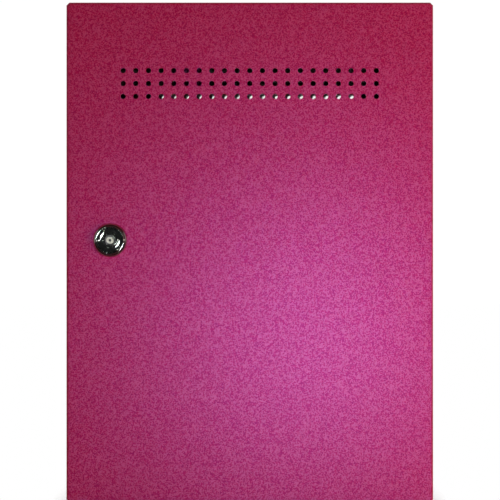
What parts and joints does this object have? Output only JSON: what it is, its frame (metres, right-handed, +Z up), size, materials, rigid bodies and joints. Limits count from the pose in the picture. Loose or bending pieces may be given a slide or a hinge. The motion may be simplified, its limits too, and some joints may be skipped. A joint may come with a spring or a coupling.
{
  "type": "phone charging kiosk",
  "caption": "Countertop coin-operated phone charging kiosk: steel case, sloping fascia with display and coin slot, charging ledge, and a vented, locked service door at the back.",
  "frame": {"origin": "on the surface the feet stand on, under the middle of the kiosk", "axes": "+X to the right when facing the service door, +Y from the service door to the customer side, +Z up"},
  "size_m": [0.304, 0.224, 0.416],
  "materials": {
    "crimson_powder_coat": "fine metallic fleck, satin gloss",
    "galvanised_steel": "dull spangle",
    "zinc_plated_steel": "bright zinc",
    "chrome_lock": "polished",
    "stainless_trim": "fine brushed",
    "black_rubber": "matt",
    "grey_silicone": "soft matt",
    "black_plastic": "fine texture",
    "grey_plastic": "fine texture",
    "white_plastic": "satin",
    "blue_button": "gloss",
    "red_button": "gloss",
    "clear_flap": "smoked clear plastic",
    "display_glass": "gloss",
    "green_board": "solder mask",
    "cable_sheath": "smooth"
  },
  "bodies": {
    "case": {"base_tray": "crimson_powder_coat", "bay_leads": "cable_sheath", "board_components": "black_plastic", "button_housings": "stainless_trim", "cam_strike_plate": "zinc_plated_steel", "case_screws": "zinc_plated_steel", "case_wrap": "crimson_powder_coat", "cash_box": "galvanised_steel", "cash_box_lid": "galvanised_steel", "charging_hub": "white_plastic", "coin_chute": "galvanised_steel", "coin_faceplate": "stainless_trim", "coin_mechanism": "black_plastic", "control_board": "green_board", "display_bezel": "black_plastic", "display_glass": "display_glass", "display_module": "black_plastic", "equipment_plate": "galvanised_steel", "fan_housing": "black_plastic", "fascia": "crimson_powder_coat", "foot_screws": "zinc_plated_steel", "hub_ports": "zinc_plated_steel", "ledge_mat": "black_rubber", "low_voltage_leads": "cable_sheath", "lower_hinge_frame_leaf": "zinc_plated_steel", "m4_screws": "zinc_plated_steel", "mains_inlet": "black_plastic", "mains_leads": "cable_sheath", "phone_rest_strips": "grey_silicone", "plate_brackets": "galvanised_steel", "power_supply": "galvanised_steel", "rubber_feet": "black_rubber", "supply_terminals": "black_plastic", "terminal_block": "black_plastic", "upper_hinge_frame_leaf": "zinc_plated_steel", "usb_socket_centre": "black_plastic", "usb_socket_left": "black_plastic", "usb_socket_right": "black_plastic", "wire_duct": "grey_plastic", "wire_duct_cover": "grey_plastic"},
    "door": {"service_door": "crimson_powder_coat", "door_stiffeners": "galvanised_steel", "door_buffers": "black_rubber", "lower_hinge_door_leaf": "zinc_plated_steel", "upper_hinge_door_leaf": "zinc_plated_steel", "lower_hinge_pin": "zinc_plated_steel", "upper_hinge_pin": "zinc_plated_steel", "lock_housing": "chrome_lock", "lock_nut": "zinc_plated_steel"},
    "lock_core": {"lock_cylinder": "chrome_lock", "lock_cam": "zinc_plated_steel", "cam_screw": "zinc_plated_steel"},
    "coin_return_button": {"coin_return_button": "red_button"},
    "coin_return_flap": {"coin_return_flap": "clear_flap"},
    "cash_box_handle": {"cash_box_handle": "zinc_plated_steel"},
    "select_button_left": {"select_button_left": "blue_button"},
    "select_button_centre": {"select_button_centre": "blue_button"},
    "select_button_right": {"select_button_right": "blue_button"},
    "inlet_rocker": {"inlet_rocker": "red_button"},
    "fan_rotor": {"fan_rotor": "black_plastic"}
  },
  "joints": [
    {"name": "door_hinge", "type": "hinge", "parent": "case", "child": "door", "pos_m": [0.144, -0.097, 0.223], "axis": [0, 0, 1], "range_deg": [0, 105]},
    {"name": "lock_turn", "type": "hinge", "parent": "door", "child": "lock_core", "pos_m": [-0.114, -0.097, 0.2215], "axis": [0, 1, 0], "range_deg": [0, 90]},
    {"name": "coin_return_press", "type": "slide", "parent": "case", "child": "coin_return_button", "axis": [0, -0.9762, -0.217], "range_m": [0, 0.004], "stiffness_N_per_m": 150, "springref_m": -0.004},
    {"name": "coin_return_flap_swing", "type": "hinge", "parent": "case", "child": "coin_return_flap", "pos_m": [-0.097, 0.02662, 0.33174], "axis": [-1, 0, 0], "range_deg": [0, 40]},
    {"name": "cash_box_handle_lift", "type": "hinge", "parent": "case", "child": "cash_box_handle", "pos_m": [-0.0705, -0.0576, 0.066], "axis": [-1, 0, 0], "range_deg": [0, 90]},
    {"name": "inlet_rocker_tilt", "type": "hinge", "parent": "case", "child": "inlet_rocker", "pos_m": [0.1465, -0.048, 0.0745], "axis": [0, -1, 0], "range_deg": [0, 16]},
    {"name": "fan_spin", "type": "hinge", "parent": "case", "child": "fan_rotor", "pos_m": [0.1365, 0.02, 0.12], "axis": [1, 0, 0], "continuous": true},
    {"name": "select_press_left", "type": "slide", "parent": "case", "child": "select_button_left", "axis": [0, -1, 0], "range_m": [0, 0.0018], "stiffness_N_per_m": 300, "springref_m": -0.003},
    {"name": "select_press_centre", "type": "slide", "parent": "case", "child": "select_button_centre", "axis": [0, -1, 0], "range_m": [0, 0.0018], "stiffness_N_per_m": 300, "springref_m": -0.003},
    {"name": "select_press_right", "type": "slide", "parent": "case", "child": "select_button_right", "axis": [0, -1, 0], "range_m": [0, 0.0018], "stiffness_N_per_m": 300, "springref_m": -0.003}
  ]
}
